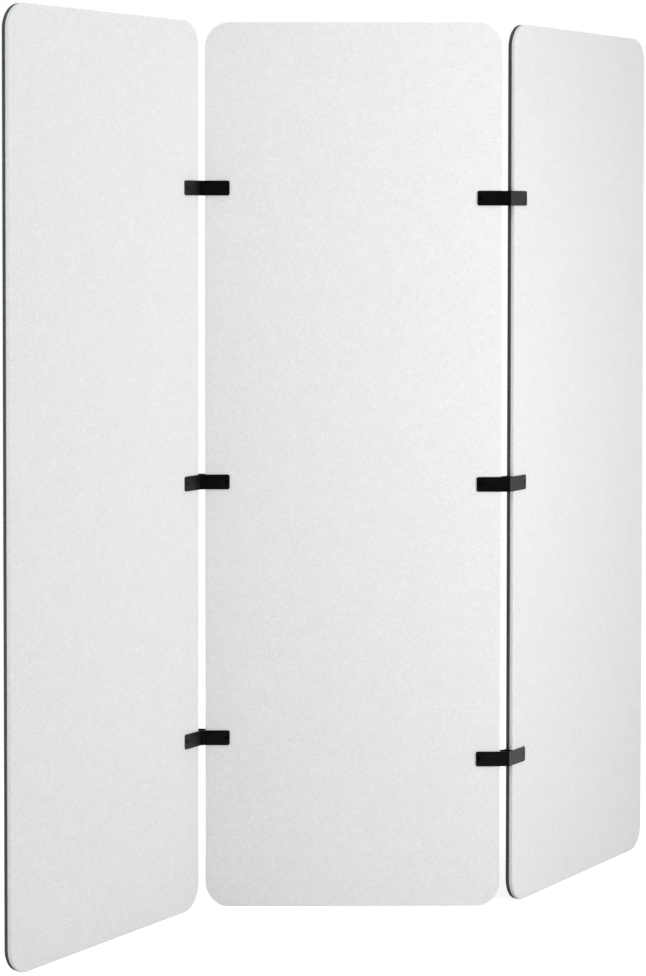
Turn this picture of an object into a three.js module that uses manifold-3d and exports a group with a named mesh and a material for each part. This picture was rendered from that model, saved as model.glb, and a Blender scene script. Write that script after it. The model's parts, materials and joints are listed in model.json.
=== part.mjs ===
// A three-panel folding room screen of felt boards, stood in a zigzag. Millimetres, +Z up.
// The origin is on the floor under the centre panel, halfway through its thickness. The front is -Y.
import * as THREE from 'three';
import { mergeVertices } from 'three/addons/utils/BufferGeometryUtils.js';
import Module from 'manifold-3d';

const wasm = await Module();
wasm.setup();

// Panels: each is a pale front board and a dark back board glued together
const panelWidth = 600;
const panelHeight = 1800;
const panelCornerRadius = 50;
const boardThickness = 8;
const glueLine = 0.3;

// How far each wing is turned out of the centre panel's plane when the screen stands open
const bendDegrees = 57;

// Hinges: a clip on the end of each panel, cut from one length of aluminium section
const clipHeight = 30;
const clipThickness = 2;
const clipOverlap = 49;
const clipCornerRadius = 4;
const hingeNames = ['lower', 'middle', 'upper'];
const leftHeightShares = [0.1925, 0.4828, 0.814];
const rightHeightShares = [0.168, 0.48, 0.803];

// Hinge barrel and pin
const pinRadius = 1;
const barrelWall = 0.8;
const stripReach = 2.8;
const pinRecess = 0.4;
const knuckleCount = 3;

// Countersunk sleeve nut and screw that hold each clip to its panel
const screwRadius = 1.5;
const screwHeadOverhang = 1.3;
const sleeveWall = 0.6;
const nutHeadOverhang = 1;
const leafMargin = 2.8;
const headRim = 0.2;
const tipChamfer = 0.3;
const socketRadius = 1.2;
const socketDepth = 0.9;
const boreEndWall = 1.2;

// Clearances: clip to felt, pin in barrel, round a turning knuckle, between knuckles, between the
// leaves of a folded hinge, between the lips of an open one, screw in sleeve, round a head, and past
// the end of a screw or sleeve. Cuts run past their piece by the overrun.
const seatGap = 0.3;
const runningGap = 0.1;
const sweepGap = 0.4;
const knuckleGap = 0.5;
const foldedGap = 1.4;
const mitreGap = 0.3;
const threadGap = 0.1;
const headGap = 0.4;
const endGap = 0.5;
const overrun = 5;

// Facets
const holeSides = 12;
const barrelSides = 18;
const screwSides = 12;
const socketSides = 6;
const cornerSteps = 8;

// Sizes that follow from those above
const bend = THREE.MathUtils.degToRad(bendDegrees);
const panelThickness = 2 * boardThickness + glueLine;
const barrelRadius = pinRadius + runningGap + barrelWall;
const pivotStandOff = seatGap + clipThickness + foldedGap / 2;
const webOuter = barrelRadius + sweepGap + stripReach;
const webInner = webOuter + clipThickness;
const panelEnd = webInner + seatGap;
const leafEnd = panelEnd + clipOverlap;
const screwHeadRadius = screwRadius + screwHeadOverhang;
const sleeveRadius = screwRadius + threadGap + sleeveWall;
const nutHeadRadius = sleeveRadius + nutHeadOverhang;
const screwPlace = leafEnd - leafMargin - nutHeadRadius;
const sleeveHoleRadius = sleeveRadius + seatGap;
const screwHoleRadius = screwRadius + seatGap;

// Heights across a clip, with 0 at the hinge axis and the panel on the negative side
const concaveFace = -pivotStandOff;
const concaveInner = concaveFace + seatGap;
const concaveOuter = concaveInner + clipThickness;
const convexFace = concaveFace - panelThickness;
const convexInner = convexFace - seatGap;
const convexOuter = convexInner - clipThickness;

const paleFelt = () => new THREE.MeshStandardMaterial({ color: 0xe9e9e7, roughness: 0.95, metalness: 0 });
const darkFelt = () => new THREE.MeshStandardMaterial({ color: 0x525457, roughness: 0.95, metalness: 0 });
const blackCoat = () => new THREE.MeshStandardMaterial({ color: 0x121213, roughness: 0.55, metalness: 0.1 });
const blackSteel = () => new THREE.MeshStandardMaterial({ color: 0x1c1c1d, roughness: 0.4, metalness: 0.8 });

// A geometry with one vertex for each place, so that it can be joined and cut
function welded(geometry) {
  geometry.deleteAttribute('normal');
  geometry.deleteAttribute('uv');
  return mergeVertices(geometry);
}

function solidOf(geometry) {
  const whole = welded(geometry);
  return new wasm.Manifold(new wasm.Mesh({
    numProp: 3,
    vertProperties: new Float32Array(whole.attributes.position.array),
    triVerts: new Uint32Array(whole.index.array),
  }));
}

function geometryOf(solid) {
  const mesh = solid.getMesh();
  const geometry = new THREE.BufferGeometry();
  geometry.setAttribute('position', new THREE.BufferAttribute(new Float32Array(mesh.vertProperties), 3));
  geometry.setIndex(new THREE.BufferAttribute(new Uint32Array(mesh.triVerts), 1));
  geometry.computeVertexNormals();
  return geometry;
}

function namedMesh(name, geometry, material) {
  const mesh = new THREE.Mesh(geometry, material);
  mesh.name = name;
  return mesh;
}

// A closed outline through the given points, raised from z = 0
function raised(points, height) {
  const shape = new THREE.Shape(points.map(([x, y]) => new THREE.Vector2(x, y)));
  return solidOf(new THREE.ExtrudeGeometry(shape, { depth: height, bevelEnabled: false }));
}

function upright(radius, from, to, sides) {
  const geometry = new THREE.CylinderGeometry(radius, radius, to - from, sides);
  geometry.rotateX(Math.PI / 2);
  geometry.translate(0, 0, (from + to) / 2);
  return solidOf(geometry);
}

// A turned piece: a profile of [radius, height] points about the Z axis
function turned(profile, sides) {
  const points = profile.map(([radius, height]) => new THREE.Vector2(radius, height));
  const geometry = new THREE.LatheGeometry(points, sides);
  geometry.rotateX(Math.PI / 2);
  return geometry;
}

// A rectangle with four round corners, its lower left corner at the origin
function roundedRectangle(width, height, radius) {
  const shape = new THREE.Shape();
  shape.absarc(width - radius, radius, radius, -Math.PI / 2, 0);
  shape.absarc(width - radius, height - radius, radius, 0, Math.PI / 2);
  shape.absarc(radius, height - radius, radius, Math.PI / 2, Math.PI);
  shape.absarc(radius, radius, radius, Math.PI, Math.PI * 3 / 2);
  return shape;
}

// One felt board, from x = 0, standing on z = 0 with its thickness from y = 0 towards -Y.
// Each hole is the [x, z] place of a sleeve nut.
function boardGeometry(holes) {
  const shape = roundedRectangle(panelWidth, panelHeight, panelCornerRadius);
  for (const [x, z] of holes) {
    const hole = new THREE.Path();
    hole.absarc(x, z, sleeveHoleRadius, 0, Math.PI * 2);
    shape.holes.push(hole);
  }
  const steps = { depth: boardThickness, bevelEnabled: false, curveSegments: holeSides / 2 };
  const geometry = welded(new THREE.ExtrudeGeometry(shape, steps));
  geometry.rotateX(Math.PI / 2);
  return geometry;
}

// Where the mitred end of a convex lip lies at a given height across the clip
function mitreAt(height) {
  return height * Math.tan(bend / 2) + mitreGap / 2 / Math.cos(bend / 2);
}

// The clip's section: two leaves, the web between them at the panel's end, a short strip that runs
// into the barrel on the concave side and a lip to the mitre on the convex side. `side` is 1 or -1
// and mirrors it.
function clipSection(side) {
  return [
    [leafEnd, concaveInner],
    [leafEnd, concaveOuter],
    [0, concaveOuter],
    [0, -barrelRadius],
    [-barrelRadius - concaveInner, concaveInner],
    [webOuter, concaveInner],
    [webOuter, convexInner],
    [mitreAt(convexInner), convexInner],
    [mitreAt(convexOuter), convexOuter],
    [leafEnd, convexOuter],
    [leafEnd, convexInner],
    [webInner, convexInner],
    [webInner, concaveInner],
  ].map(([x, y]) => [x, side * y]);
}

// The upright band of knuckle number `index`, counted from the bottom, less half of the gap to
// each neighbour
function knuckleBand(index) {
  const pitch = clipHeight / knuckleCount;
  const from = index === 0 ? 0 : index * pitch + knuckleGap / 2;
  const to = index === knuckleCount - 1 ? clipHeight : (index + 1) * pitch - knuckleGap / 2;
  return [from, to];
}

// The clip seen from its face, with round corners at the leaves' outer ends
function leafOutline() {
  const start = mitreAt(convexOuter) - barrelRadius - overrun;
  const cornerPlace = leafEnd - clipCornerRadius;
  const shape = new THREE.Shape();
  shape.moveTo(start, 0);
  shape.lineTo(cornerPlace, 0);
  shape.absarc(cornerPlace, clipCornerRadius, clipCornerRadius, -Math.PI / 2, 0);
  shape.absarc(cornerPlace, clipHeight - clipCornerRadius, clipCornerRadius, 0, Math.PI / 2);
  shape.lineTo(start, clipHeight);
  const depth = 2 * (Math.abs(convexOuter) + barrelRadius + overrun);
  const steps = { depth, bevelEnabled: false, curveSegments: cornerSteps / 2 };
  const geometry = new THREE.ExtrudeGeometry(shape, steps);
  geometry.translate(0, 0, -depth / 2);
  geometry.rotateX(Math.PI / 2);
  return solidOf(geometry);
}

// How far a countersunk head reaches into its leaf: a short rim and a cone of 45 degrees
function headDepth(headRadius, shankRadius) {
  return headRim + headRadius - shankRadius;
}

// The room that a countersunk head and its shank take in a leaf, about the Z axis, with the leaf's
// outer face at 0 and the shank going down
function headRoom(headRadius, neckRadius) {
  const mouthRadius = headRadius + headGap;
  const reach = clipThickness + overrun;
  const profile = [
    [0, -reach],
    [neckRadius, -reach],
    [neckRadius, -headDepth(mouthRadius, neckRadius)],
    [mouthRadius, -headRim],
    [mouthRadius, overrun],
    [0, overrun],
  ];
  return turned(profile, holeSides);
}

// Turns a piece made about Z so that it points out of the clip on the concave side (1) or the
// convex side (-1), with its outer face on that leaf, at the screw's place
function seatInClip(geometry, side, outward) {
  geometry.rotateX(-side * outward * Math.PI / 2);
  const height = outward > 0 ? concaveOuter : convexOuter;
  geometry.translate(screwPlace, side * height, clipHeight / 2);
  return geometry;
}

// One hinge clip, its bottom at z = 0 and the hinge axis on Z. It has every second knuckle, from
// number `first` up, and room for its partner's knuckles between them.
function clipGeometry(side, first) {
  let clip = raised(clipSection(side), clipHeight);
  for (let index = 0; index < knuckleCount; index += 1) {
    const [from, to] = knuckleBand(index);
    if (index % 2 === first) {
      clip = clip.add(upright(barrelRadius, from, to, barrelSides));
    } else {
      const room = upright(barrelRadius + sweepGap, from - knuckleGap, to + knuckleGap, barrelSides);
      clip = clip.subtract(room);
    }
  }
  clip = clip.subtract(upright(pinRadius + runningGap, -overrun, clipHeight + overrun, barrelSides));
  clip = clip.intersect(leafOutline());
  const nutRoom = seatInClip(headRoom(nutHeadRadius, sleeveHoleRadius), side, 1);
  const screwRoom = seatInClip(headRoom(screwHeadRadius, screwHoleRadius), side, -1);
  return geometryOf(clip.subtract(solidOf(nutRoom)).subtract(solidOf(screwRoom)));
}

// The hinge pin, standing in the barrel and a little short of its ends
function pinGeometry() {
  const bottom = pinRecess;
  const top = clipHeight - pinRecess;
  return welded(turned([
    [0, bottom],
    [pinRadius - tipChamfer, bottom],
    [pinRadius, bottom + tipChamfer],
    [pinRadius, top - tipChamfer],
    [pinRadius - tipChamfer, top],
    [0, top],
  ], barrelSides));
}

// Cuts the six-sided socket for a key into a head whose outer face is at 0
function withSocket(geometry) {
  const socket = upright(socketRadius, -socketDepth, overrun, socketSides);
  return geometryOf(solidOf(geometry).subtract(socket));
}

// The sleeve nut goes through the panel from the concave leaf and takes the screw in its open end
function nutGeometry() {
  const length = concaveOuter - convexInner - endGap;
  const boreEnd = socketDepth + boreEndWall;
  return withSocket(turned([
    [0, -boreEnd],
    [screwRadius + threadGap, -boreEnd],
    [screwRadius + threadGap, -length],
    [sleeveRadius, -length],
    [sleeveRadius, -headDepth(nutHeadRadius, sleeveRadius)],
    [nutHeadRadius, -headRim],
    [nutHeadRadius, 0],
    [0, 0],
  ], screwSides));
}

function screwGeometry() {
  const length = concaveOuter - convexOuter - socketDepth - boreEndWall - endGap;
  return withSocket(turned([
    [0, -length],
    [screwRadius - tipChamfer, -length],
    [screwRadius, -length + tipChamfer],
    [screwRadius, -headDepth(screwHeadRadius, screwRadius)],
    [screwHeadRadius, -headRim],
    [screwHeadRadius, 0],
    [0, 0],
  ], screwSides));
}

// Adds a clip with its sleeve nut and screw to `group`, whose origin is on the hinge axis
function addClip(group, name, bottom, side, firstKnuckle) {
  const pieces = [
    namedMesh(`${name}_clip`, clipGeometry(side, firstKnuckle), blackCoat()),
    namedMesh(`${name}_sleeve_nut`, seatInClip(nutGeometry(), side, 1), blackSteel()),
    namedMesh(`${name}_screw`, seatInClip(screwGeometry(), side, -1), blackSteel()),
  ];
  for (const piece of pieces) {
    piece.position.z = bottom;
    group.add(piece);
  }
}

function addBoard(group, name, material, holes, x, y) {
  const board = namedMesh(name, boardGeometry(holes), material);
  board.position.set(x, y, 0);
  group.add(board);
}

const screen = new THREE.Group();
const screwInset = screwPlace - panelEnd;
const sides = [
  { wing: 'left', turn: 0, shares: leftHeightShares, concave: 'front' },
  { wing: 'right', turn: Math.PI, shares: rightHeightShares, concave: 'back' },
];
const felts = { front: paleFelt, back: darkFelt };
const centreHoles = [];

for (const { wing, turn, shares, concave } of sides) {
  const side = new THREE.Group();
  side.rotation.z = turn;
  screen.add(side);

  // Both groups have their origin on the hinge axis; the second is turned out with the wing
  const centreEnd = new THREE.Group();
  centreEnd.position.set(-panelWidth / 2 - panelEnd, -panelThickness / 2 - pivotStandOff, 0);
  side.add(centreEnd);
  const wingEnd = new THREE.Group();
  wingEnd.rotation.z = Math.PI + bend;
  centreEnd.add(wingEnd);

  const wingHoles = [];
  shares.forEach((share, index) => {
    const height = share * panelHeight;
    const bottom = height - clipHeight / 2;
    const hinge = `${wing}_${hingeNames[index]}_hinge`;
    addClip(centreEnd, `${hinge}_centre`, bottom, -1, 0);
    addClip(wingEnd, `${hinge}_wing`, bottom, 1, 1);
    const pin = namedMesh(`${hinge}_pin`, pinGeometry(), blackSteel());
    pin.position.z = bottom;
    centreEnd.add(pin);
    wingHoles.push([screwInset, height]);
    centreHoles.push([wing === 'left' ? screwInset : panelWidth - screwInset, height]);
  });

  const convex = concave === 'front' ? 'back' : 'front';
  addBoard(wingEnd, `${wing}_${concave}_board`, felts[concave](), wingHoles, panelEnd, concaveFace);
  addBoard(wingEnd, `${wing}_${convex}_board`, felts[convex](), wingHoles, panelEnd, convexFace + boardThickness);
}

const frontBoardBack = boardThickness - panelThickness / 2;
addBoard(screen, 'centre_front_board', paleFelt(), centreHoles, -panelWidth / 2, frontBoardBack);
addBoard(screen, 'centre_back_board', darkFelt(), centreHoles, -panelWidth / 2, panelThickness / 2);

export default screen;
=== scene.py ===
"""The looks of a three-panel folding felt room screen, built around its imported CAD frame.

It is laid out as an add-on and run as a script. Metres, +Z up, and the screen's front is -Y.
"""

import json
import math

import bmesh
import bpy
from bpy.props import FloatProperty, FloatVectorProperty, PointerProperty
from bpy.types import Operator, Panel, PropertyGroup
from mathutils import Matrix, Vector


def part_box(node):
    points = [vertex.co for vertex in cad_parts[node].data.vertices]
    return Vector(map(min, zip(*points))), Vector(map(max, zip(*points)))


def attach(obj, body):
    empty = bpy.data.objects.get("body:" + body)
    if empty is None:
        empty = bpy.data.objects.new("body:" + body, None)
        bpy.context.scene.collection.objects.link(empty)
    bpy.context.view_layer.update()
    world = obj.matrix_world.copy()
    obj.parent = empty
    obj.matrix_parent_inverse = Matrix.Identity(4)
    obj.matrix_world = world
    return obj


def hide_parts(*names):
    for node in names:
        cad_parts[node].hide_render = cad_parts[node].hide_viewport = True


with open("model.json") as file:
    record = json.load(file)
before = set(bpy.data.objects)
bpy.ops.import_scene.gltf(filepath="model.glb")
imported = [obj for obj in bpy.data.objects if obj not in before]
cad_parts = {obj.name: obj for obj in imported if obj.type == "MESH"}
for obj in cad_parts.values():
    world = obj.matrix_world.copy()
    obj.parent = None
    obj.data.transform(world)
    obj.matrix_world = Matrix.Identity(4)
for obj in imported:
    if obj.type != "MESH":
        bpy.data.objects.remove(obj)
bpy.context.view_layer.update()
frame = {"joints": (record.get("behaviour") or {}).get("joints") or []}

bl_info = {
    "name": "Folding felt room screen",
    "version": (1, 0, 0),
    "blender": (4, 5, 0),
    "location": "3D View > Sidebar > Room screen",
    "description": "Makes the visible pieces of a three-panel felt screen, and a stage for it",
    "category": "Object",
}

WINGS = ("left", "right")
HINGES = ("lower", "middle", "upper")
HALF_TURN = math.pi
QUARTER_TURN = math.pi / 2

# The frame's own sizes: the centre panel's boards, and one hinge of each kind of piece
front_low, front_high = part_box("centre_front_board")
back_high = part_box("centre_back_board")[1]
clip_low, clip_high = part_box("left_lower_hinge_centre_clip")
nut_low, nut_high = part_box("left_lower_hinge_centre_sleeve_nut")
screw_low, screw_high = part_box("left_lower_hinge_centre_screw")
pin_low, pin_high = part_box("left_lower_hinge_pin")
folds = {joint["child"]: joint for joint in frame["joints"]}
PIVOTS = {wing: Vector(folds[f"{wing}_wing"]["pos_m"]) for wing in WINGS}

# A wing folds flat at the end of its range, so what is left of half a turn is its bend at rest
BEND = HALF_TURN - math.radians(folds["left_wing"]["range_deg"][1])

# Places across a hinge and its panel, measured from the hinge axis
PANEL_THICKNESS = back_high.y - front_low.y
PANEL_END = front_low.x - PIVOTS["left"].x
CONCAVE_FACE = PIVOTS["left"].y - front_low.y
CONVEX_FACE = CONCAVE_FACE - PANEL_THICKNESS
CONVEX_OUTER = PIVOTS["left"].y - clip_high.y
LEAF_END = clip_high.x - PIVOTS["left"].x
BARREL_RADIUS = PIVOTS["left"].y - clip_low.y
CLIP_HEIGHT = clip_high.z - clip_low.z
SCREW_PLACE = (nut_low.x + nut_high.x) / 2 - PIVOTS["left"].x
NUT_LENGTH = nut_high.y - nut_low.y
SCREW_LENGTH = screw_high.y - screw_low.y
PIN_INSET = pin_low.z - clip_low.z

# How finely round shapes are drawn, and the bend from which an edge counts as sharp
CORNER_STEPS = 24
EDGE_STEPS = 5
ROUND_STEPS = 48
SHARP_ANGLE = math.radians(28)

# Where each lamp stands, and how wide it is
LAMPS = {
    "high_lamp": ((0, -0.9, 3.2), 1.5),
    "left_lamp": ((-1.76, -1.48, 1.2), 1.0),
    "right_lamp": ((1.76, -1.48, 1.2), 1.0),
}

# How strongly each felt shows its flecks, its grain, its clouds and its sheen
FELT_LOOKS = {
    "Pale felt": (0.92, 0.31, 0.014, 0.15),
    "Pale felt, cut edge": (1.0, 0.34, 0.02, 0.1),
    "Dark felt": (0.36, 0.3, 0.08, 0.1),
    "Dark felt, cut edge": (0.6, 0.5, 0.1, 0.05),
}


class BoardSettings(PropertyGroup):
    """The felt boards."""

    width: FloatProperty(
        name="Width", description="Width of each panel",
        default=front_high.x - front_low.x, min=0.1, unit="LENGTH",
    )
    height: FloatProperty(
        name="Height", description="Height of each panel",
        default=front_high.z - front_low.z, min=0.1, unit="LENGTH",
    )
    thickness: FloatProperty(
        name="Board thickness", description="Thickness of one of a panel's two boards",
        default=front_high.y - front_low.y, min=0.002, unit="LENGTH",
    )
    corner_radius: FloatProperty(
        name="Corner radius", description="Radius of the panels' round corners",
        default=0.05, min=0.005, unit="LENGTH",
    )
    face_easing: FloatProperty(
        name="Face edge", description="Rounding of the cut edge where it meets the outer face",
        default=0.0014, min=0.0001, unit="LENGTH",
    )
    glue_easing: FloatProperty(
        name="Glued edge", description="Rounding of the cut edge where the two boards meet",
        default=0.0004, min=0.0001, unit="LENGTH",
    )
    hole_radius: FloatProperty(
        name="Hole radius", description="Radius of the holes for the sleeve nuts",
        default=0.0025, min=0.001, unit="LENGTH",
    )
    pale_colour: FloatVectorProperty(
        name="Pale felt", description="Ground colour of the pale boards",
        default=(0.844, 0.850, 0.849), min=0, max=1, subtype="COLOR",
    )
    pale_fleck: FloatVectorProperty(
        name="Pale felt's flecks", description="Colour of the fibres strewn through the pale felt",
        default=(0.96, 0.965, 0.965), min=0, max=1, subtype="COLOR",
    )
    dark_colour: FloatVectorProperty(
        name="Dark felt", description="Ground colour of the dark boards",
        default=(0.066, 0.069, 0.074), min=0, max=1, subtype="COLOR",
    )
    dark_fleck: FloatVectorProperty(
        name="Dark felt's flecks", description="Colour of the fibres strewn through the dark felt",
        default=(0.23, 0.235, 0.24), min=0, max=1, subtype="COLOR",
    )


class HingeSettings(PropertyGroup):
    """The hinges' clips, pins, sleeve nuts and screws."""

    strip_thickness: FloatProperty(
        name="Strip thickness", description="Thickness of the clips' leaves and webs",
        default=0.002, min=0.0005, unit="LENGTH",
    )
    corner_radius: FloatProperty(
        name="Leaf corner radius", description="Radius of the corners at a leaf's outer end",
        default=0.004, min=0.0005, unit="LENGTH",
    )
    edge_radius: FloatProperty(
        name="Edge rounding", description="Rounding that the coating gives to a clip's edges",
        default=0.0003, min=0.0, unit="LENGTH",
    )
    knuckle_gap: FloatProperty(
        name="Knuckle gap", description="Gap between two neighbouring knuckles of the barrel",
        default=0.0005, min=0.0001, unit="LENGTH",
    )
    sweep_gap: FloatProperty(
        name="Sweep gap", description="Gap round a knuckle that turns inside the other clip",
        default=0.0004, min=0.0001, unit="LENGTH",
    )
    mitre_gap: FloatProperty(
        name="Mitre gap", description="Gap between the lips of the two clips on the open screen",
        default=0.0003, min=0.0001, unit="LENGTH",
    )
    pin_radius: FloatProperty(
        name="Pin radius", description="Radius of the hinge pin",
        default=(pin_high.y - pin_low.y) / 2, min=0.0005, unit="LENGTH",
    )
    running_gap: FloatProperty(
        name="Running gap", description="Gap between the pin and its barrel",
        default=0.0001, min=0.00005, unit="LENGTH",
    )
    nut_head_radius: FloatProperty(
        name="Nut head radius", description="Radius of a sleeve nut's countersunk head",
        default=(nut_high.x - nut_low.x) / 2, min=0.001, unit="LENGTH",
    )
    sleeve_radius: FloatProperty(
        name="Sleeve radius", description="Outer radius of a sleeve nut's sleeve",
        default=0.0022, min=0.001, unit="LENGTH",
    )
    screw_head_radius: FloatProperty(
        name="Screw head radius", description="Radius of a screw's countersunk head",
        default=(screw_high.x - screw_low.x) / 2, min=0.001, unit="LENGTH",
    )
    shank_radius: FloatProperty(
        name="Shank radius", description="Radius of a screw's shank",
        default=0.0015, min=0.0005, unit="LENGTH",
    )
    head_rim: FloatProperty(
        name="Head rim", description="Straight rim above the cone of a countersunk head",
        default=0.0002, min=0.00005, unit="LENGTH",
    )
    head_gap: FloatProperty(
        name="Head gap", description="Gap round a head in its countersink",
        default=0.0004, min=0.00005, unit="LENGTH",
    )
    seat_gap: FloatProperty(
        name="Seat gap", description="Gap between a sleeve or shank and the hole it goes through",
        default=0.0003, min=0.00005, unit="LENGTH",
    )
    thread_gap: FloatProperty(
        name="Thread gap", description="Gap between a screw and the bore of its sleeve nut",
        default=0.0001, min=0.00005, unit="LENGTH",
    )
    socket_reach: FloatProperty(
        name="Key socket", description="From a socket's axis to one of its six corners",
        default=0.0012, min=0.0003, unit="LENGTH",
    )
    socket_depth: FloatProperty(
        name="Socket depth", description="Depth of the socket for the key",
        default=0.0009, min=0.0003, unit="LENGTH",
    )
    bore_end_wall: FloatProperty(
        name="Bore end wall", description="What is solid between a nut's socket and its bore",
        default=0.0012, min=0.0003, unit="LENGTH",
    )
    tip_chamfer: FloatProperty(
        name="Tip chamfer", description="Chamfer on the ends of a pin and a screw",
        default=0.0003, min=0.0, unit="LENGTH",
    )
    coating_colour: FloatVectorProperty(
        name="Coating", description="Colour of the clips' powder coating",
        default=(0.0012, 0.0012, 0.0013), min=0, max=1, subtype="COLOR",
    )
    # A lighter colour painted on the convex edges of the clips, pins, sleeve nuts and screws as a
    # highlight
    edge_highlight_colour: FloatVectorProperty(
        name="Painted edge highlight", description="Colour of the coating on its edges, as a painted highlight",
        default=(0.012, 0.012, 0.0123), min=0, max=1, subtype="COLOR",
    )
    steel_colour: FloatVectorProperty(
        name="Blackened steel", description="Colour of the pins, sleeve nuts and screws",
        default=(0.004, 0.004, 0.0042), min=0, max=1, subtype="COLOR",
    )


class StageSettings(PropertyGroup):
    """The floor, lamps, world and camera."""

    floor_reach: FloatProperty(
        name="Floor reach", description="From the floor's middle to its edge",
        default=14.0, min=1.0, unit="LENGTH",
    )
    fade_start: FloatProperty(
        name="Fade start", description="How far from its middle the floor starts to fade to white",
        default=1.2, min=0.1, unit="LENGTH",
    )
    fade_end: FloatProperty(
        name="Fade end", description="How far from its middle the floor has faded to white",
        default=4.5, min=0.2, unit="LENGTH",
    )
    floor_colour: FloatVectorProperty(
        name="Floor", description="Colour of the plain pale floor",
        default=(0.70, 0.69, 0.655), min=0, max=1, subtype="COLOR",
    )
    floor_glow: FloatProperty(
        name="Floor glow", description="What the camera and reflections see of the floor beyond its light",
        default=0.75, min=0.0,
    )
    room_behind: FloatProperty(
        name="Room behind", description="How bright reflections see the room beside and behind the screen",
        default=0.75, min=0.0,
    )
    room_front: FloatProperty(
        name="Room in front", description="How bright reflections see the room in front of the screen",
        default=0.02, min=0.0,
    )
    fill_colour: FloatVectorProperty(
        name="Fill colour", description="Colour of the light from the surroundings",
        default=(0.975, 1.0, 1.02), min=0, subtype="COLOR",
    )
    fill_level: FloatProperty(
        name="Fill level", description="How strongly the surroundings light the screen",
        default=0.545, min=0.0,
    )
    high_power: FloatProperty(
        name="High lamp", description="Power of the lamp high up in front",
        default=11.5, min=0.0, unit="POWER",
    )
    left_power: FloatProperty(
        name="Left lamp", description="Power of the lamp at the front left",
        default=9.6, min=0.0, unit="POWER",
    )
    right_power: FloatProperty(
        name="Right lamp", description="Power of the lamp at the front right",
        default=24.9, min=0.0, unit="POWER",
    )
    lens: FloatProperty(
        name="Focal length", description="Focal length of the camera",
        default=98.12, min=10.0, unit="CAMERA",
    )


def arc(x, y, radius, start, turn, steps):
    """Points of a round stretch about (x, y), both of its ends included."""
    angles = [start + turn * step / steps for step in range(steps + 1)]
    return [(x + radius * math.cos(angle), y + radius * math.sin(angle)) for angle in angles]


def rounded_rectangle(width, height, radius, inset):
    """The outline of a board from its lower left corner, drawn in by inset on all sides."""
    corners = (
        (width - radius, radius, -QUARTER_TURN),
        (width - radius, height - radius, 0),
        (radius, height - radius, QUARTER_TURN),
        (radius, radius, HALF_TURN),
    )
    points = []
    for x, y, start in corners:
        points += arc(x, y, radius - inset, start, QUARTER_TURN, CORNER_STEPS)
    return points


def bridge(shape, rings, material=0):
    """Joins each closed ring of vertices to the next with smooth four-sided faces."""
    for ring, following in zip(rings, rings[1:]):
        for index in range(len(ring)):
            after = (index + 1) % len(ring)
            corners = (ring[index], ring[after], following[after], following[index])
            face = shape.faces.new(corners)
            face.material_index = material
            face.smooth = True


def cap(shape, rings):
    """Fills the flat area inside the first ring and outside the others."""
    edges = []
    for ring in rings:
        pairs = zip(ring, ring[1:] + ring[:1])
        edges += [shape.edges.get(pair) for pair in pairs]
    made = bmesh.ops.triangle_fill(shape, use_beauty=True, edges=edges)
    for face in made["geom"]:
        if isinstance(face, bmesh.types.BMFace):
            face.smooth = False


def finished(shape, name):
    """Turns the faces outwards and returns the shape as a mesh."""
    bmesh.ops.recalc_face_normals(shape, faces=shape.faces)
    mesh = bpy.data.meshes.new(name)
    shape.to_mesh(mesh)
    shape.free()
    return mesh


def edge_profile(settings):
    """Points (inset, depth) down a board's cut edge, from the outer face to the glued one."""
    quarter = [QUARTER_TURN * step / EDGE_STEPS for step in range(EDGE_STEPS + 1)]
    face = [(1 - math.sin(angle), 1 - math.cos(angle)) for angle in quarter]
    profile = [(settings.face_easing * inset, settings.face_easing * depth) for inset, depth in face]
    for inset, depth in reversed(face):
        place = (settings.glue_easing * inset, settings.thickness - settings.glue_easing * depth)
        profile.append(place)
    return profile


def board_mesh(name, settings, start, outer, inward, holes):
    """One board in its panel's coordinates: X from start, Z up, its outer face at Y = outer.

    inward is 1 or -1, the direction in which the board's thickness goes. Slot 0 is the face's
    felt and slot 1 the cut edge's.
    """
    shape = bmesh.new()
    rings = []
    for inset, depth in edge_profile(settings):
        outline = rounded_rectangle(settings.width, settings.height, settings.corner_radius, inset)
        place = outer + inward * depth
        rings.append([shape.verts.new((start + x, place, z)) for x, z in outline])
    bridge(shape, rings, material=1)
    outer_rings, inner_rings = [rings[0]], [rings[-1]]
    for x, z in holes:
        circle = arc(x, z, settings.hole_radius, 0, 2 * HALF_TURN, ROUND_STEPS)[:-1]
        outer_ring = [shape.verts.new((u, outer, v)) for u, v in circle]
        inner_ring = [shape.verts.new((u, outer + inward * settings.thickness, v)) for u, v in circle]
        bridge(shape, [outer_ring, inner_ring], material=1)
        outer_rings.append(outer_ring)
        inner_rings.append(inner_ring)
    cap(shape, outer_rings)
    cap(shape, inner_rings)
    return finished(shape, name)


def turned_mesh(name, profile):
    """A closed piece turned about Z from (radius, height) points. A third value in a point, the
    number of sides, gives that ring straight sides, with its corners at the radius."""
    shape = bmesh.new()
    rings = []
    for radius, height, *sides in profile:
        ring = []
        for step in range(ROUND_STEPS):
            angle = 2 * HALF_TURN * step / ROUND_STEPS
            reach = radius
            if sides:
                half_side = HALF_TURN / sides[0]
                reach *= math.cos(half_side) / math.cos(angle % (2 * half_side) - half_side)
            ring.append(shape.verts.new((reach * math.cos(angle), reach * math.sin(angle), height)))
        rings.append(ring)
    bridge(shape, rings)
    for ring in (rings[0], rings[-1]):
        shape.faces.new(ring)
    return finished(shape, name)


def raised_mesh(name, outline, height):
    """A closed outline of (x, y) points raised from Z = 0."""
    shape = bmesh.new()
    rings = [[shape.verts.new((x, y, z)) for x, y in outline] for z in (0, height)]
    bridge(shape, rings)
    for ring in rings:
        shape.faces.new(ring)
    return finished(shape, name)


def modified(mesh, add_modifiers):
    """The mesh with modifiers applied. add_modifiers gets the object that carries them."""
    carrier = bpy.data.objects.new("carrier", mesh)
    bpy.context.scene.collection.objects.link(carrier)
    add_modifiers(carrier)
    result = bpy.data.meshes.new_from_object(
        carrier.evaluated_get(bpy.context.evaluated_depsgraph_get())
    )
    bpy.data.objects.remove(carrier)
    return result


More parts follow.
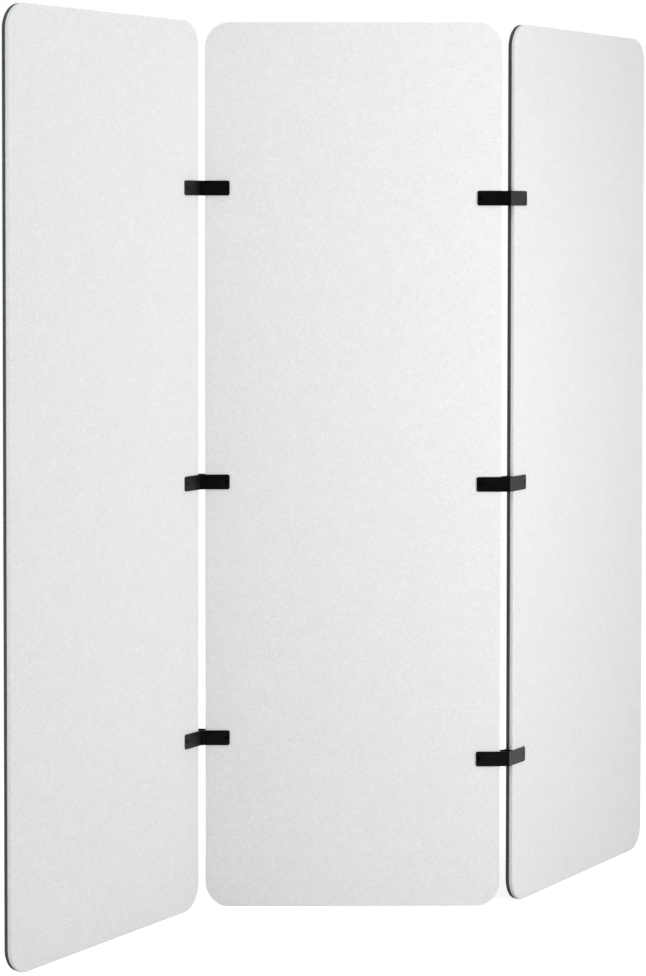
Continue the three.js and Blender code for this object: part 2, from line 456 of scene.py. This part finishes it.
def combined(mesh, tool, operation):
    """Joins a mesh with another (UNION), cuts that away (DIFFERENCE) or keeps what both share."""
    cutter = bpy.data.objects.new("cutter", tool)
    bpy.context.scene.collection.objects.link(cutter)

    def add_modifiers(carrier):
        """Adds the boolean with the cutter."""
        modifier = carrier.modifiers.new("combined", "BOOLEAN")
        modifier.operation = operation
        modifier.solver = "MANIFOLD"
        modifier.object = cutter

    result = modified(mesh, add_modifiers)
    bpy.data.objects.remove(cutter)
    return result


def softened(mesh, radius):
    """The mesh with its sharp edges rounded."""
    rounding_steps = 3

    def add_modifiers(carrier):
        """Adds the rounding of sharp edges."""
        modifier = carrier.modifiers.new("softened", "BEVEL")
        modifier.width = radius
        modifier.segments = rounding_steps
        modifier.limit_method = "ANGLE"
        modifier.angle_limit = SHARP_ANGLE
        modifier.harden_normals = True

    mesh.shade_smooth()
    mesh.set_sharp_from_angle(angle=SHARP_ANGLE)
    return modified(mesh, add_modifiers)


def hinge_line(wing):
    """From a hinge's coordinates, with its axis on Z and X along the centre panel, to the row frame."""
    turn = 0 if wing == "left" else HALF_TURN
    return Matrix.Translation(PIVOTS[wing]) @ Matrix.Rotation(turn, 4, "Z")


def wing_line(wing):
    """As hinge_line, with X along the wing as it stands at rest."""
    return hinge_line(wing) @ Matrix.Rotation(HALF_TURN + BEND, 4, "Z")


def clip_bottom(wing, hinge):
    """The height of a hinge's lower end."""
    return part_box(f"{wing}_{hinge}_hinge_centre_clip")[0].z


def show_piece(name, mesh, place, body, slot, materials, *nodes):
    """Puts a piece in the scene, in place of its CAD nodes and on their body."""
    piece = bpy.data.objects.new(name, mesh)
    bpy.context.scene.collection.objects.link(piece)
    piece.matrix_world = place
    if not mesh.materials:
        for material in materials:
            mesh.materials.append(material)
    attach(piece, body)
    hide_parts(*nodes)


def add_node(tree, kind, **settings):
    """A new shader node with its settings."""
    node = tree.nodes.new(kind)
    for name, value in settings.items():
        setattr(node, name, value)
    return node


def set_inputs(node, values):
    """Sets a node's inputs by their names and returns the node."""
    for name, value in values.items():
        node.inputs[name].default_value = value
    return node


def new_group(name, inputs, outputs):
    """A shader node group with named sockets, its input node and its output node."""
    tree = bpy.data.node_groups.new(name, "ShaderNodeTree")
    for label, kind, value in inputs:
        socket = tree.interface.new_socket(name=label, in_out="INPUT", socket_type=kind)
        socket.default_value = value
    for label, kind in outputs:
        tree.interface.new_socket(name=label, in_out="OUTPUT", socket_type=kind)
    return tree, tree.nodes.new("NodeGroupInput"), tree.nodes.new("NodeGroupOutput")


def give(tree, socket, value):
    """Links a socket's value to an input, or sets the input to a plain value."""
    if isinstance(value, bpy.types.NodeSocket):
        tree.links.new(value, socket)
    else:
        socket.default_value = value


def noise(tree, vector, scale, detail=2.0, roughness=0.5):
    """A noise texture; scale, in spots per metre, is a number or a socket."""
    node = add_node(tree, "ShaderNodeTexNoise")
    set_inputs(node, {"Detail": detail, "Roughness": roughness})
    give(tree, node.inputs["Scale"], scale)
    tree.links.new(vector, node.inputs["Vector"])
    return node


def stretch(tree, value, low, high, to_low=0.0, to_high=1.0):
    """Maps low..high of a value to to_low..to_high. Any of them may be a socket."""
    node = add_node(tree, "ShaderNodeMapRange")
    given = {"From Min": low, "From Max": high, "To Min": to_low, "To Max": to_high}
    for name, number in given.items():
        give(tree, node.inputs[name], number)
    tree.links.new(value, node.inputs["Value"])
    return node.outputs["Result"]


def math_node(tree, operation, first, second):
    """A maths node on two sockets or numbers."""
    node = add_node(tree, "ShaderNodeMath", operation=operation)
    for socket, value in zip(node.inputs, (first, second)):
        give(tree, socket, value)
    return node.outputs["Value"]


def mix_colour(tree, factor, first, second):
    """A colour mix; each of the three may be a socket or a value."""
    node = add_node(tree, "ShaderNodeMix", data_type="RGBA")
    sockets = (node.inputs[0], node.inputs[6], node.inputs[7])
    for socket, value in zip(sockets, (factor, first, second)):
        give(tree, socket, value)
    return node.outputs[2]


def felt_fibres_group():
    """Pressed fibre felt: curled strands in three directions, fine grain and slow clouds."""
    tree, given, result = new_group(
        "Felt fibres",
        [
            ("Ground", "NodeSocketColor", (0.8, 0.8, 0.8, 1)),
            ("Fleck", "NodeSocketColor", (0.5, 0.5, 0.5, 1)),
            ("Fleck Amount", "NodeSocketFloat", 0.5),
            ("Grain Amount", "NodeSocketFloat", 0.05),
            ("Cloud Amount", "NodeSocketFloat", 0.02),
        ],
        [("Color", "NodeSocketColor"), ("Height", "NodeSocketFloat")],
    )
    place = add_node(tree, "ShaderNodeTexCoord").outputs["Object"]

    # Strands are long spots, bent by a slow noise and laid in three directions, each with its
    # angle in degrees and its number of spots per metre
    directions = ((12, 900), (71, 800), (128, 1050))
    length_to_width = 10
    bend_reach = 0.008
    curl = noise(tree, place, scale=45, detail=2)
    bent = add_node(tree, "ShaderNodeVectorMath", operation="MULTIPLY_ADD")
    bent.inputs[1].default_value = (bend_reach, bend_reach, bend_reach)
    tree.links.new(curl.outputs["Color"], bent.inputs[0])
    tree.links.new(place, bent.inputs[2])
    strands = None
    for angle, scale in directions:
        mapping = add_node(tree, "ShaderNodeMapping", vector_type="TEXTURE")
        mapping.inputs["Rotation"].default_value = (0, math.radians(angle), 0)
        mapping.inputs["Scale"].default_value = (1, 1, length_to_width)
        tree.links.new(bent.outputs["Vector"], mapping.inputs["Vector"])
        spots = noise(tree, mapping.outputs["Vector"], scale=scale, detail=1.5)
        lines = stretch(tree, spots.outputs["Fac"], 0.56, 0.70)
        strands = lines if strands is None else math_node(tree, "MAXIMUM", strands, lines)
    amount = math_node(tree, "MULTIPLY", strands, given.outputs["Fleck Amount"])
    colour = mix_colour(tree, amount, given.outputs["Ground"], given.outputs["Fleck"])

    # Grain is fine and only darkens the colour; clouds are slow and work both ways
    grain = noise(tree, place, scale=620, detail=3, roughness=0.65).outputs["Fac"]
    clouds = noise(tree, place, scale=22, detail=5, roughness=0.75).outputs["Fac"]
    darkest = math_node(tree, "SUBTRACT", 1.0, given.outputs["Grain Amount"])
    grain_level = stretch(tree, grain, 0.3, 0.5, darkest, 1.0)
    less = math_node(tree, "SUBTRACT", 1.0, given.outputs["Cloud Amount"])
    more = math_node(tree, "ADD", 1.0, given.outputs["Cloud Amount"])
    cloud_level = stretch(tree, clouds, 0.3, 0.7, less, more)
    for level in (grain_level, cloud_level):
        scaled = add_node(tree, "ShaderNodeVectorMath", operation="SCALE")
        tree.links.new(colour, scaled.inputs["Vector"])
        tree.links.new(level, scaled.inputs["Scale"])
        colour = scaled.outputs["Vector"]
    tree.links.new(colour, result.inputs["Color"])
    height = math_node(tree, "ADD", strands, grain)
    tree.links.new(height, result.inputs["Height"])
    return tree


def coating_grain_group():
    """The fine orange peel of a baked coating, and how it changes the gloss."""
    tree, given, result = new_group(
        "Coating grain",
        [
            ("Gloss Low", "NodeSocketFloat", 0.4),
            ("Gloss High", "NodeSocketFloat", 0.5),
            ("Grain Scale", "NodeSocketFloat", 1600.0),
        ],
        [("Roughness", "NodeSocketFloat"), ("Height", "NodeSocketFloat")],
    )
    place = add_node(tree, "ShaderNodeTexCoord").outputs["Object"]
    peel = noise(tree, place, scale=given.outputs["Grain Scale"], detail=2)
    patches = noise(tree, place, scale=140, detail=3).outputs["Fac"]
    low, high = given.outputs["Gloss Low"], given.outputs["Gloss High"]
    tree.links.new(stretch(tree, patches, 0.35, 0.65, low, high), result.inputs["Roughness"])
    tree.links.new(peel.outputs["Fac"], result.inputs["Height"])
    return tree


def painted_edge_highlight_group():
    """A mask that is 1 where a highlight is painted: convex edges, broken up by noise."""
    tree, given, result = new_group(
        "Painted highlight on edges",
        [("Amount", "NodeSocketFloat", 0.5)],
        [("Mask", "NodeSocketFloat")],
    )
    place = add_node(tree, "ShaderNodeTexCoord").outputs["Object"]
    pointed = add_node(tree, "ShaderNodeNewGeometry").outputs["Pointiness"]
    edges = stretch(tree, pointed, 0.52, 0.60)
    patches = stretch(tree, noise(tree, place, scale=420, detail=4).outputs["Fac"], 0.42, 0.62)
    mask = math_node(tree, "MULTIPLY", edges, patches)
    tree.links.new(math_node(tree, "MULTIPLY", mask, given.outputs["Amount"]), result.inputs["Mask"])
    return tree


def shared_group(name, build):
    """A node group, built the first time that it is asked for."""
    return bpy.data.node_groups.get(name) or build()


def group_node(tree, group, **values):
    """Places a node group in a material with its own values."""
    node = add_node(tree, "ShaderNodeGroup", node_tree=group)
    for name, value in values.items():
        node.inputs[name.replace("_", " ")].default_value = value
    return node


def new_material(name):
    """An empty node material and its Principled shader."""
    material = bpy.data.materials.new(name)
    material.use_nodes = True
    return material, material.node_tree, material.node_tree.nodes["Principled BSDF"]


def bump(tree, shader, height, depth, strength):
    """Lets a height in 0..1 change the shader's normal; depth is in metres."""
    node = add_node(tree, "ShaderNodeBump")
    set_inputs(node, {"Strength": strength, "Distance": depth})
    tree.links.new(height, node.inputs["Height"])
    tree.links.new(node.outputs["Normal"], shader.inputs["Normal"])


def felt_material(name, ground, fleck):
    """Pressed fibre felt of one colour, as strong in its pattern as FELT_LOOKS says."""
    existing = bpy.data.materials.get(name)
    if existing:
        return existing
    fleck_amount, grain_amount, cloud_amount, sheen = FELT_LOOKS[name]
    material, tree, shader = new_material(name)
    fibres = group_node(
        tree, shared_group("Felt fibres", felt_fibres_group),
        Ground=(*ground, 1), Fleck=(*fleck, 1),
        Fleck_Amount=fleck_amount, Grain_Amount=grain_amount, Cloud_Amount=cloud_amount,
    )
    tree.links.new(fibres.outputs["Color"], shader.inputs["Base Color"])
    bump(tree, shader, fibres.outputs["Height"], depth=0.0002, strength=0.6)
    set_inputs(shader, {
        "Roughness": 0.95, "Specular IOR Level": 0.2, "Sheen Weight": sheen, "Sheen Roughness": 0.5,
    })
    return material


def black_metal(
    name, colour, edge_highlight_colour, *, gloss, grain_scale, grain_depth, highlight_amount, metallic,
):
    """A coated or blackened metal with a fine grain and a painted highlight on its convex edges.
    gloss is a lowest and a highest roughness."""
    existing = bpy.data.materials.get(name)
    if existing:
        return existing
    material, tree, shader = new_material(name)
    grain = group_node(
        tree, shared_group("Coating grain", coating_grain_group),
        Gloss_Low=gloss[0], Gloss_High=gloss[1], Grain_Scale=grain_scale,
    )
    edge_highlight = group_node(tree, shared_group("Painted highlight on edges", painted_edge_highlight_group), Amount=highlight_amount)
    # Convex edges are mixed towards a lighter colour: a painted highlight
    colour = mix_colour(tree, edge_highlight.outputs["Mask"], (*colour, 1), (*edge_highlight_colour, 1))
    tree.links.new(colour, shader.inputs["Base Color"])
    tree.links.new(grain.outputs["Roughness"], shader.inputs["Roughness"])
    bump(tree, shader, grain.outputs["Height"], depth=grain_depth, strength=0.5)
    set_inputs(shader, {"Metallic": metallic})
    return material


def coating_material(settings):
    """Black powder coating on the clips."""
    # The coating's convex edges get a faint painted highlight
    return black_metal(
        "Black coating", settings.coating_colour, settings.edge_highlight_colour, gloss=(0.40, 0.48),
        grain_scale=1600.0, grain_depth=0.00004, highlight_amount=0.6, metallic=0.0,
    )


def steel_material(settings):
    """Blackened steel of the pins, sleeve nuts and screws."""
    # The steel's convex edges get a painted highlight
    return black_metal(
        "Blackened steel", settings.steel_colour, settings.edge_highlight_colour, gloss=(0.28, 0.42),
        grain_scale=2600.0, grain_depth=0.00002, highlight_amount=1.0, metallic=0.85,
    )


def felt_materials(settings, felt):
    """The face's and the cut edge's material of the pale or dark boards."""
    if felt == "pale":
        colours = (settings.pale_colour, settings.pale_fleck)
    else:
        colours = (settings.dark_colour, settings.dark_fleck)
    name = f"{felt.capitalize()} felt"
    return [felt_material(name, *colours), felt_material(f"{name}, cut edge", *colours)]


class MakeFeltBoards(Operator):
    """Makes the six felt boards: a pale front and a dark back on each panel"""

    bl_idname = "room_screen.felt_boards"
    bl_label = "Felt boards"

    def execute(self, context):
        settings = context.scene.room_screen_boards
        centre_holes = []
        for wing in WINGS:
            heights = [clip_bottom(wing, hinge) + CLIP_HEIGHT / 2 for hinge in HINGES]
            holes = [(SCREW_PLACE, height) for height in heights]
            concave, convex = ("front", "back") if wing == "left" else ("back", "front")
            self.add_board(settings, wing, concave, wing_line(wing), PANEL_END, CONCAVE_FACE, -1, holes)
            self.add_board(settings, wing, convex, wing_line(wing), PANEL_END, CONVEX_FACE, 1, holes)
            for x, z in holes:
                place = hinge_line(wing) @ Vector((x, 0, z))
                centre_holes.append((place.x, place.z))
        at_rest = Matrix.Identity(4)
        self.add_board(settings, "centre", "front", at_rest, front_low.x, front_low.y, 1, centre_holes)
        self.add_board(settings, "centre", "back", at_rest, front_low.x, back_high.y, -1, centre_holes)
        return {"FINISHED"}

    def add_board(self, settings, panel, face, place, start, outer, inward, holes):
        """Makes the front or back board of a panel and shows it in place of its CAD node."""
        felt = "pale" if face == "front" else "dark"
        name = f"{panel}_{face}_felt"
        mesh = board_mesh(name, settings, start, outer, inward, holes)
        body = "centre_panel" if panel == "centre" else f"{panel}_wing"
        materials = felt_materials(settings, felt)
        show_piece(name, mesh, place, body, f"{felt}_felt", materials, f"{panel}_{face}_board")


def concave_inner(settings):
    """Across the hinge, the leaf's side that lies on the felt, on the side to which the screen bends."""
    return CONCAVE_FACE + (CONVEX_FACE - CONVEX_OUTER - settings.strip_thickness)


def knuckle_bands(settings):
    """The lower and upper end of each of the three knuckles."""
    count = 3
    pitch = CLIP_HEIGHT / count
    bands = []
    for index in range(count):
        low = 0 if index == 0 else index * pitch + settings.knuckle_gap / 2
        high = CLIP_HEIGHT if index == count - 1 else (index + 1) * pitch - settings.knuckle_gap / 2
        bands.append((low, high))
    return bands


def clip_section(settings, side):
    """The clip's outline seen from above: two leaves, their web, a strip to the barrel and a lip."""
    thickness = settings.strip_thickness
    seat = concave_inner(settings) - CONCAVE_FACE
    inner = concave_inner(settings)
    outer = inner + thickness
    far_inner = CONVEX_OUTER + thickness
    web_inner = PANEL_END - seat
    web_outer = web_inner - thickness

    def mitre(height):
        """How far along X a lip ends at a height across the hinge."""
        half = BEND / 2
        return height * math.tan(half) + settings.mitre_gap / 2 / math.cos(half)

    points = [
        (LEAF_END, inner),
        (LEAF_END, outer),
        (0, outer),
        (0, -BARREL_RADIUS),
        (-BARREL_RADIUS - inner, inner),
        (web_outer, inner),
        (web_outer, far_inner),
        (mitre(far_inner), far_inner),
        (mitre(CONVEX_OUTER), CONVEX_OUTER),
        (LEAF_END, CONVEX_OUTER),
        (LEAF_END, far_inner),
        (web_inner, far_inner),
        (web_inner, inner),
    ]
    return [(x, side * y) for x, y in points]


def upright(radius, low, high):
    """A cylinder about Z."""
    return turned_mesh("cylinder", [(radius, low), (radius, high)])


def head_depth(settings, head_radius, shank_radius):
    """How far a countersunk head with a cone of 45 degrees reaches into its leaf."""
    return settings.head_rim + head_radius - shank_radius


def countersink(settings, head_radius, neck_radius):
    """The room for a countersunk head and its shank, which goes down from Z = 0."""
    mouth = head_radius + settings.head_gap
    reach = 2 * settings.strip_thickness
    return turned_mesh("countersink", [
        (neck_radius, -reach),
        (neck_radius, -head_depth(settings, mouth, neck_radius)),
        (mouth, -settings.head_rim),
        (mouth, reach),
    ])


def seat_in_clip(settings, side, outward):
    """From a head's own coordinates to a hinge's: outward is 1 on the concave leaf, -1 on the convex."""
    turn = Matrix.Rotation(-side * outward * QUARTER_TURN, 4, "X")
    height = concave_inner(settings) + settings.strip_thickness if outward > 0 else CONVEX_OUTER
    return Matrix.Translation((SCREW_PLACE, side * height, CLIP_HEIGHT / 2)) @ turn


def leaf_outline(settings):
    """A block with the clip's height and round corners at the leaves' outer ends."""
    radius = settings.corner_radius
    far = LEAF_END - radius
    overrun = PANEL_THICKNESS
    start = CONVEX_OUTER - overrun
    outline = [(start, 0)]
    outline += arc(far, radius, radius, -QUARTER_TURN, QUARTER_TURN, CORNER_STEPS)
    outline += arc(far, CLIP_HEIGHT - radius, radius, 0, QUARTER_TURN, CORNER_STEPS)
    outline.append((start, CLIP_HEIGHT))
    depth = 2 * (overrun - CONVEX_OUTER)
    block = raised_mesh("leaf_outline", outline, depth)
    block.transform(Matrix.Rotation(QUARTER_TURN, 4, "X"))
    block.transform(Matrix.Translation((0, depth / 2, 0)))
    return block


def clip_mesh(name, settings, side, first):
    """One hinge clip with its bottom at Z = 0. It has every second knuckle, from number first up."""
    mesh = raised_mesh(name, clip_section(settings, side), CLIP_HEIGHT)
    for index, (low, high) in enumerate(knuckle_bands(settings)):
        if index % 2 == first:
            mesh = combined(mesh, upright(BARREL_RADIUS, low, high), "UNION")
        else:
            room = upright(
                BARREL_RADIUS + settings.sweep_gap,
                low - settings.knuckle_gap, high + settings.knuckle_gap,
            )
            mesh = combined(mesh, room, "DIFFERENCE")
    bore = upright(settings.pin_radius + settings.running_gap, -CLIP_HEIGHT, 2 * CLIP_HEIGHT)
    mesh = combined(mesh, bore, "DIFFERENCE")
    mesh = combined(mesh, leaf_outline(settings), "INTERSECT")
    heads = (
        (1, settings.nut_head_radius, settings.sleeve_radius),
        (-1, settings.screw_head_radius, settings.shank_radius),
    )
    for outward, head_radius, shank_radius in heads:
        room = countersink(settings, head_radius, shank_radius + settings.seat_gap)
        room.transform(seat_in_clip(settings, side, outward))
        mesh = combined(mesh, room, "DIFFERENCE")
    mesh = softened(mesh, settings.edge_radius)

    # The boolean cuts leave an empty material slot behind
    mesh.materials.clear()
    mesh.name = name
    return mesh


def hinge_ends():
    """Yields for each of the twelve clips: the names of its hinge and its end, the sign of its
    section's Y, its body, and the matrix from the hinge's coordinates to the row frame."""
    for wing in WINGS:
        ends = (
            ("centre", -1, "centre_panel", hinge_line(wing)),
            ("wing", 1, f"{wing}_wing", wing_line(wing)),
        )
        for hinge in HINGES:
            raise_by = Matrix.Translation((0, 0, clip_bottom(wing, hinge)))
            for end, side, body, line in ends:
                yield f"{wing}_{hinge}", end, side, body, line @ raise_by


class MakeHingeClips(Operator):
    """Makes the two coated clips of each hinge"""

    bl_idname = "room_screen.hinge_clips"
    bl_label = "Hinge clips"

    def execute(self, context):
        settings = context.scene.room_screen_hinges
        clips = {
            "centre": clip_mesh("centre_clip", settings, -1, 0),
            "wing": clip_mesh("wing_clip", settings, 1, 1),
        }
        materials = [coating_material(settings)]
        for hinge, end, _, body, place in hinge_ends():
            show_piece(
                f"{hinge}_{end}_clip", clips[end].copy(), place, body,
                "black_coating", materials, f"{hinge}_hinge_{end}_clip",
            )
        return {"FINISHED"}


class MakeHingePins(Operator):
    """Makes the pin in each hinge's barrel"""

    bl_idname = "room_screen.hinge_pins"
    bl_label = "Hinge pins"

    def execute(self, context):
        settings = context.scene.room_screen_hinges
        radius = settings.pin_radius
        chamfer = settings.tip_chamfer
        low, high = PIN_INSET, CLIP_HEIGHT - PIN_INSET
        pin = turned_mesh("pin", [
            (radius - chamfer, low),
            (radius, low + chamfer),
            (radius, high - chamfer),
            (radius - chamfer, high),
        ])
        pin.set_sharp_from_angle(angle=SHARP_ANGLE)
        for wing in WINGS:
            for hinge in HINGES:
                place = hinge_line(wing) @ Matrix.Translation((0, 0, clip_bottom(wing, hinge)))
                show_piece(
                    f"{wing}_{hinge}_pin", pin.copy(), place, "centre_panel",
                    "black_steel", [steel_material(settings)], f"{wing}_{hinge}_hinge_pin",
                )
        return {"FINISHED"}


def head_profile(settings, head_radius, shank_radius):
    """A countersunk head from the floor of its socket out to the shank, going down from Z = 0."""
    socket_sides = 6
    return [
        (settings.socket_reach, -settings.socket_depth, socket_sides),
        (settings.socket_reach, 0, socket_sides),
        (head_radius, 0),
        (head_radius, -settings.head_rim),
        (shank_radius, -head_depth(settings, head_radius, shank_radius)),
    ]


def show_fasteners(settings, kind, mesh, outward):
    """Puts a copy of a sleeve nut or screw in each of the twelve clips."""
    mesh.set_sharp_from_angle(angle=SHARP_ANGLE)
    materials = [steel_material(settings)]
    for hinge, end, side, body, place in hinge_ends():
        show_piece(
            f"{hinge}_{end}_{kind}", mesh.copy(), place @ seat_in_clip(settings, side, outward), body,
            "black_steel", materials, f"{hinge}_hinge_{end}_{kind}",
        )


class MakeSleeveNuts(Operator):
    """Makes the sleeve nuts that go through the panels"""

    bl_idname = "room_screen.sleeve_nuts"
    bl_label = "Sleeve nuts"

    def execute(self, context):
        settings = context.scene.room_screen_hinges
        bore = settings.shank_radius + settings.thread_gap
        profile = head_profile(settings, settings.nut_head_radius, settings.sleeve_radius)
        profile += [
            (settings.sleeve_radius, -NUT_LENGTH),
            (bore, -NUT_LENGTH),
            (bore, -settings.socket_depth - settings.bore_end_wall),
        ]
        show_fasteners(settings, "sleeve_nut", turned_mesh("sleeve_nut", profile), 1)
        return {"FINISHED"}


class MakeScrews(Operator):
    """Makes the screws that hold the clips to their sleeve nuts"""

    bl_idname = "room_screen.screws"
    bl_label = "Screws"

    def execute(self, context):
        settings = context.scene.room_screen_hinges
        profile = head_profile(settings, settings.screw_head_radius, settings.shank_radius)
        profile += [
            (settings.shank_radius, settings.tip_chamfer - SCREW_LENGTH),
            (settings.shank_radius - settings.tip_chamfer, -SCREW_LENGTH),
        ]
        show_fasteners(settings, "screw", turned_mesh("screw", profile), -1)
        return {"FINISHED"}


def add_lamp(name, power):
    """A soft square lamp that faces the middle of the screen and isn't seen in reflections."""
    place, size = LAMPS[name]
    target = Vector((0, 0, 1))
    lamp = bpy.data.lights.new(name, "AREA")
    lamp.shape = "SQUARE"
    lamp.size = size
    lamp.energy = power
    holder = bpy.data.objects.new(name, lamp)
    holder.visible_camera = False
    holder.visible_glossy = False
    bpy.context.scene.collection.objects.link(holder)
    holder.location = place
    holder.rotation_euler = (target - Vector(place)).to_track_quat("-Z", "Y").to_euler()


def seen_directly(tree):
    """1 for rays from the camera and for those that a reflection or glass sends on, else 0."""
    path = add_node(tree, "ShaderNodeLightPath")
    seen = math_node(tree, "MAXIMUM", path.outputs["Is Camera Ray"], path.outputs["Is Glossy Ray"])
    return math_node(tree, "MAXIMUM", seen, path.outputs["Is Transmission Ray"])


def mixed_shaders(tree, factor, first, second):
    """The output of a shader mix."""
    node = add_node(tree, "ShaderNodeMixShader")
    for socket, value in zip(node.inputs, (factor, first, second)):
        tree.links.new(value, socket)
    return node.outputs["Shader"]


def make_world(settings):
    """White to the camera, a plain light on the screen, and to reflections a room with a dark front.

    The room gets brighter from front_edge to back_edge, given as a direction's share of +Y.
    """
    front_edge = 0.1
    back_edge = 0.5
    world = bpy.data.worlds.new("Studio")
    world.use_nodes = True
    tree = world.node_tree
    fill = tree.nodes["Background"]
    set_inputs(fill, {"Color": (*settings.fill_colour, 1), "Strength": settings.fill_level})
    white = set_inputs(add_node(tree, "ShaderNodeBackground"), {"Color": (1, 1, 1, 1), "Strength": 1.0})
    room = set_inputs(add_node(tree, "ShaderNodeBackground"), {"Color": (1, 1, 1, 1)})
    direction = add_node(tree, "ShaderNodeSeparateXYZ")
    place = add_node(tree, "ShaderNodeTexCoord").outputs["Generated"]
    tree.links.new(place, direction.inputs["Vector"])
    level = stretch(
        tree, direction.outputs["Y"], front_edge, back_edge,
        settings.room_front, settings.room_behind,
    )
    tree.links.new(level, room.inputs["Strength"])
    path = add_node(tree, "ShaderNodeLightPath")
    lit = mixed_shaders(tree, seen_directly(tree), fill.outputs["Background"], white.outputs["Background"])
    surface = mixed_shaders(tree, path.outputs["Is Glossy Ray"], lit, room.outputs["Background"])
    tree.links.new(surface, tree.nodes["World Output"].inputs["Surface"])
    bpy.context.scene.world = world


def emission(tree, strength):
    """The output of a white glow."""
    node = set_inputs(add_node(tree, "ShaderNodeEmission"), {"Color": (1, 1, 1, 1), "Strength": strength})
    return node.outputs["Emission"]


def floor_material(settings):
    """A plain pale floor that keeps the screen's shadow and fades to white further out.

    To reflections it gets as dark as the room in front, from dark_start to dark_end along Y.
    """
    dark_start = -0.1
    dark_end = -0.5
    material, tree, shader = new_material("Pale floor")
    place = add_node(tree, "ShaderNodeTexCoord").outputs["Object"]
    mottle = noise(tree, place, scale=6, detail=3).outputs["Fac"]
    level = stretch(tree, mottle, 0.3, 0.7, 0.985, 1.0)
    scaled = add_node(tree, "ShaderNodeVectorMath", operation="SCALE")
    scaled.inputs["Vector"].default_value = settings.floor_colour
    tree.links.new(level, scaled.inputs["Scale"])
    tree.links.new(scaled.outputs["Vector"], shader.inputs["Base Color"])
    set_inputs(shader, {"Roughness": 0.9, "Specular IOR Level": 0.1})

    distance = add_node(tree, "ShaderNodeVectorMath", operation="LENGTH")
    tree.links.new(place, distance.inputs[0])
    fade = stretch(tree, distance.outputs["Value"], settings.fade_start, settings.fade_end)
    white = emission(tree, 1.0)
    lit = add_node(tree, "ShaderNodeAddShader")
    tree.links.new(shader.outputs["BSDF"], lit.inputs[0])
    tree.links.new(emission(tree, settings.floor_glow), lit.inputs[1])
    faded = mixed_shaders(tree, fade, lit.outputs["Shader"], white)
    seen = mixed_shaders(tree, seen_directly(tree), shader.outputs["BSDF"], faded)
    path = add_node(tree, "ShaderNodeLightPath")
    parts = add_node(tree, "ShaderNodeSeparateXYZ")
    tree.links.new(place, parts.inputs["Vector"])
    in_front = stretch(tree, parts.outputs["Y"], dark_start, dark_end)
    dark_to = math_node(tree, "MULTIPLY", in_front, path.outputs["Is Glossy Ray"])
    surface = mixed_shaders(tree, dark_to, seen, emission(tree, settings.room_front))
    tree.links.new(surface, tree.nodes["Material Output"].inputs["Surface"])
    return material


def add_floor(settings):
    """The floor under the screen."""
    sides = 64
    shape = bmesh.new()
    rim = arc(0, 0, settings.floor_reach, 0, 2 * HALF_TURN, sides)[:-1]
    shape.faces.new([shape.verts.new((x, y, 0)) for x, y in rim])
    floor = bpy.data.objects.new("floor", finished(shape, "floor"))
    floor.data.materials.append(floor_material(settings))
    bpy.context.scene.collection.objects.link(floor)


def add_camera(settings):
    """The photograph's view: a long lens a little above the middle, shifted down to frame the screen."""
    place = (-0.0999, -5.3989, 1.4009)
    tilt_down = math.radians(1.9)
    turn_right = math.radians(0.626)
    roll = math.radians(-0.067)
    camera = bpy.data.objects.new("camera", bpy.data.cameras.new("camera"))
    bpy.context.scene.collection.objects.link(camera)
    camera.location = place
    camera.rotation_euler = (QUARTER_TURN - tilt_down, roll, -turn_right)
    camera.data.lens = settings.lens
    camera.data.sensor_width = 36
    camera.data.shift_x = -0.0106
    camera.data.shift_y = -0.1842
    camera.data.clip_start = 0.1
    camera.data.clip_end = 100
    bpy.context.scene.camera = camera


class MakeStage(Operator):
    """Makes the floor, the lamps, the world and the camera"""

    bl_idname = "room_screen.stage"
    bl_label = "Stage"

    def execute(self, context):
        settings = context.scene.room_screen_stage
        context.scene.view_settings.view_transform = "Standard"
        make_world(settings)
        add_floor(settings)
        add_lamp("high_lamp", settings.high_power)
        add_lamp("left_lamp", settings.left_power)
        add_lamp("right_lamp", settings.right_power)
        add_camera(settings)
        return {"FINISHED"}


OPERATORS = (MakeStage, MakeFeltBoards, MakeHingeClips, MakeHingePins, MakeSleeveNuts, MakeScrews)


class PiecesPanel(Panel):
    """Lists what the add-on makes and the sizes and colours that it uses."""

    bl_idname = "ROOM_SCREEN_PT_pieces"
    bl_label = "Room screen"
    bl_space_type = "VIEW_3D"
    bl_region_type = "UI"
    bl_category = "Room screen"

    def draw(self, context):
        column = self.layout.column()
        for operator in OPERATORS:
            column.operator(operator.bl_idname)
        for group in (
            context.scene.room_screen_boards,
            context.scene.room_screen_hinges,
            context.scene.room_screen_stage,
        ):
            box = self.layout.box()
            for name in group.__annotations__:
                box.prop(group, name)


CLASSES = (BoardSettings, HingeSettings, StageSettings, *OPERATORS, PiecesPanel)


def register():
    """Registers the classes and gives every scene its settings."""
    for item in CLASSES:
        bpy.utils.register_class(item)
    bpy.types.Scene.room_screen_boards = PointerProperty(type=BoardSettings)
    bpy.types.Scene.room_screen_hinges = PointerProperty(type=HingeSettings)
    bpy.types.Scene.room_screen_stage = PointerProperty(type=StageSettings)


def unregister():
    """Undoes register."""
    del bpy.types.Scene.room_screen_stage
    del bpy.types.Scene.room_screen_hinges
    del bpy.types.Scene.room_screen_boards
    for item in reversed(CLASSES):
        bpy.utils.unregister_class(item)


def main():
    """Makes the stage and every piece."""
    register()
    bpy.ops.room_screen.stage()
    bpy.ops.room_screen.felt_boards()
    bpy.ops.room_screen.hinge_clips()
    bpy.ops.room_screen.hinge_pins()
    bpy.ops.room_screen.sleeve_nuts()
    bpy.ops.room_screen.screws()


if __name__ == "__main__":
    main()
